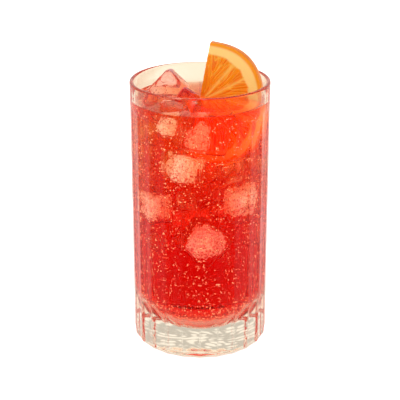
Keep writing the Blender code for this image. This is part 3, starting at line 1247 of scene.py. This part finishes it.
cloud_vertices, cloud_faces = [], []
cloudy = [(sunk_meshes[0], FIRST_CLOUD_SHIFT, FIRST_CLOUD_SCALE)]
cloudy += [(mesh, (0, 0, 0), 1.0) for mesh in sunk_meshes[1:len(FRONT_ICE)]]
behind = [
    mesh
    for mesh, (size, centre, _) in zip(sunk_meshes, blocks)
    if centre[1] > BACK_CLOUD_BEHIND and size > LARGE_BLOCK
]
cloudy += [(mesh, (0, 0, 0), BACK_CLOUD_SCALE) for mesh in behind[:BACK_CLOUDS]]
cloudy += [(ice_meshes[ice_names.index(name)], *rest) for name, *rest in STANDING_CLOUDS]
for index, (mesh, shift, scale) in enumerate(cloudy):
    more_vertices, more_faces = make_cloud(mesh, 3.0 * index, shift, scale)
    first = len(cloud_vertices)
    cloud_vertices += more_vertices
    cloud_faces += [tuple(first + i for i in f) for f in more_faces]
cloud = add_object("ice_cloud", cloud_vertices, cloud_faces)
cloud.data.materials.append(cloud_material())
keep_piece(cloud, "clear_ice")

cutters = [shrunk(mesh, ICE_INSET) for mesh in ice_meshes]
slice_room = welded(frame["nodes"]["orange_slice"].data)
cutters.append(shrunk(slice_room, SLICE_INSET))
hollows = [shrunk(mesh, ICE_INSET) for mesh in sunk_meshes]
make_drink(cutters, hollows)
make_layers()

draw = np.random.default_rng(SEED)
solids = tree_of(ice_meshes + sunk_meshes + [orange.data])
in_drink = bubble_material("air_in_drink", 1 / DRINK_IOR)
bubble_looks = (in_drink, painted_highlight_material())

angles = draw.uniform(0, math.tau, WALL_BUBBLES)
lowest = BOWL_BOTTOM + WALL_BUBBLE_LOWEST
rises = draw.uniform(0, 1, WALL_BUBBLES) ** WALL_BUBBLE_SINKING
heights = lowest + (LEVEL - BUBBLE_MARGIN - lowest) * rises
radii = draw.uniform(0, 1, WALL_BUBBLES) ** WALL_BUBBLE_POWER
radii = WALL_BUBBLE_LEAST + WALL_BUBBLE_SPREAD * radii
off_axis = np.clip((BOWL_BOTTOM + BOWL_DEPTH - heights) / BOWL_DEPTH, 0, 1)
wall_radius = inner_radius(STRAIGHT_WALL) * np.sqrt(1 - off_axis**2)
away = wall_radius - radii * ROOM_PER_RADIUS - draw.exponential(WALL_BUBBLE_DEPTH, WALL_BUBBLES)
centres = round_places(angles, np.maximum(away, 0), heights)
scatter_pairs("fine_bubble", solids, centres, radii, WALL_HIGHLIGHT_SHARE, bubble_looks)

angles = draw.uniform(0, math.tau, FREE_BUBBLES)
away = np.sqrt(draw.uniform(0, 1, FREE_BUBBLES)) * FREE_BUBBLE_REACH
lowest = bowl_height(away) + BUBBLE_MARGIN
heights = lowest + (LEVEL - BUBBLE_MARGIN - lowest) * draw.uniform(0, 1, FREE_BUBBLES)
radii = draw.uniform(*FREE_BUBBLE_RADII, FREE_BUBBLES)
centres = round_places(angles, away, heights)
scatter_pairs("free_bubble", solids, centres, radii, FREE_HIGHLIGHT_SHARE, bubble_looks)

highest = LEVEL - SURFACE_CLEARANCE
centres = np.concatenate([
    on_surface(mesh, ICE_BUBBLES, draw, BOWL_BOTTOM, highest, ICE_BUBBLE_LIFT)
    for mesh in ice_meshes + sunk_meshes
])
radii = draw.uniform(*ICE_BUBBLE_RADII, len(centres))
keep = np.hypot(centres[:, 0], centres[:, 1]) < inner_radius(STRAIGHT_WALL) - radii
scatter("ice_bubbles", centres[keep], radii[keep], 1, in_drink, "red_drink")

# Camera, floor, light

camera = bpy.data.objects.new("camera", bpy.data.cameras.new("camera"))
bpy.context.scene.collection.objects.link(camera)
camera.location = CAMERA_PLACE
camera.rotation_euler = (math.radians(90) - CAMERA_TILT, 0, 0)
camera.data.lens = CAMERA_LENS
camera.data.sensor_width = CAMERA_SENSOR
camera.data.clip_start = 0.01
bpy.context.scene.camera = camera

floor_corners = [(FLOOR_HALF * x, FLOOR_HALF * y, 0) for x, y in ((-1, -1), (1, -1), (1, 1), (-1, 1))]
floor = add_object("floor", floor_corners, [(0, 1, 2, 3)])
floor.location.z = -FLOOR_DROP
floor_made, floor_nodes, floor_links = nodes_of("pale_floor")
floor_shader = floor_nodes["Principled BSDF"]
floor_shader.inputs["Roughness"].default_value = 0.9
floor_shader.inputs["Specular IOR Level"].default_value = 0.0
floor_shader.inputs["Emission Color"].default_value = (1, 1, 1, 1)
floor_place = floor_nodes.new("ShaderNodeTexCoord")
floor_patches = floor_nodes.new("ShaderNodeTexNoise")
floor_patches.inputs["Scale"].default_value = FLOOR_PATCH_SCALE
floor_patches.inputs["Detail"].default_value = 2.0
floor_links.new(floor_place.outputs["Object"], floor_patches.inputs["Vector"])
floor_tone = floor_nodes.new("ShaderNodeValToRGB")
for stop, (position, colour) in zip(floor_tone.color_ramp.elements, FLOOR_TONES):
    stop.position = position
    stop.color = colour
floor_links.new(floor_patches.outputs["Fac"], floor_tone.inputs["Fac"])
floor_links.new(floor_tone.outputs["Color"], floor_shader.inputs["Base Color"])
floor_path = floor_nodes.new("ShaderNodeLightPath")
floor_glow = mapped(floor_nodes, (0.0, 1.0), (FLOOR_GLOW, FLOOR_GLOW_SEEN))
floor_links.new(floor_path.outputs["Is Camera Ray"], floor_glow.inputs["Value"])
floor_links.new(floor_glow.outputs["Result"], floor_shader.inputs["Emission Strength"])
floor.data.materials.append(floor_made)
floor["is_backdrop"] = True

world = bpy.data.worlds.new("studio")
bpy.context.scene.world = world
world.use_nodes = True
nodes, links = world.node_tree.nodes, world.node_tree.links
background = nodes["Background"]
place = nodes.new("ShaderNodeTexCoord")
split = nodes.new("ShaderNodeSeparateXYZ")
links.new(place.outputs["Generated"], split.inputs["Vector"])
ramp = nodes.new("ShaderNodeValToRGB")
links.new(split.outputs["Z"], ramp.inputs["Fac"])
ramp.color_ramp.elements[0].position = 0.0
ramp.color_ramp.elements[0].color = (0.95, 0.95, 0.95, 1)
ramp.color_ramp.elements[1].position = 1.0
ramp.color_ramp.elements[1].color = (1.15, 1.15, 1.15, 1)
for position, value in SKY_BANDS:
    stop = ramp.color_ramp.elements.new(position)
    stop.color = (value, value, value, 1)
path = nodes.new("ShaderNodeLightPath")
seen = nodes.new("ShaderNodeMix")
seen.data_type = "RGBA"
links.new(path.outputs["Is Camera Ray"], seen.inputs["Factor"])
links.new(ramp.outputs["Color"], seen.inputs["A"])
seen.inputs["B"].default_value = SKY_SEEN
links.new(seen.outputs["Result"], background.inputs["Color"])
background.inputs["Strength"].default_value = SKY_STRENGTH

scene = bpy.context.scene
scene.view_settings.view_transform = "Standard"
scene.cycles.max_bounces = CLEAR_BOUNCES
scene.cycles.transmission_bounces = CLEAR_BOUNCES
scene.cycles.glossy_bounces = CLEAR_BOUNCES
scene.cycles.diffuse_bounces = DIFFUSE_BOUNCES
scene.cycles.transparent_max_bounces = CLEAR_BOUNCES
scene.cycles.blur_glossy = 0.0

size = {
    "cad": [list(corner) for corner in cad_bounds],
    "visual": [list(corner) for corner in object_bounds()],
}
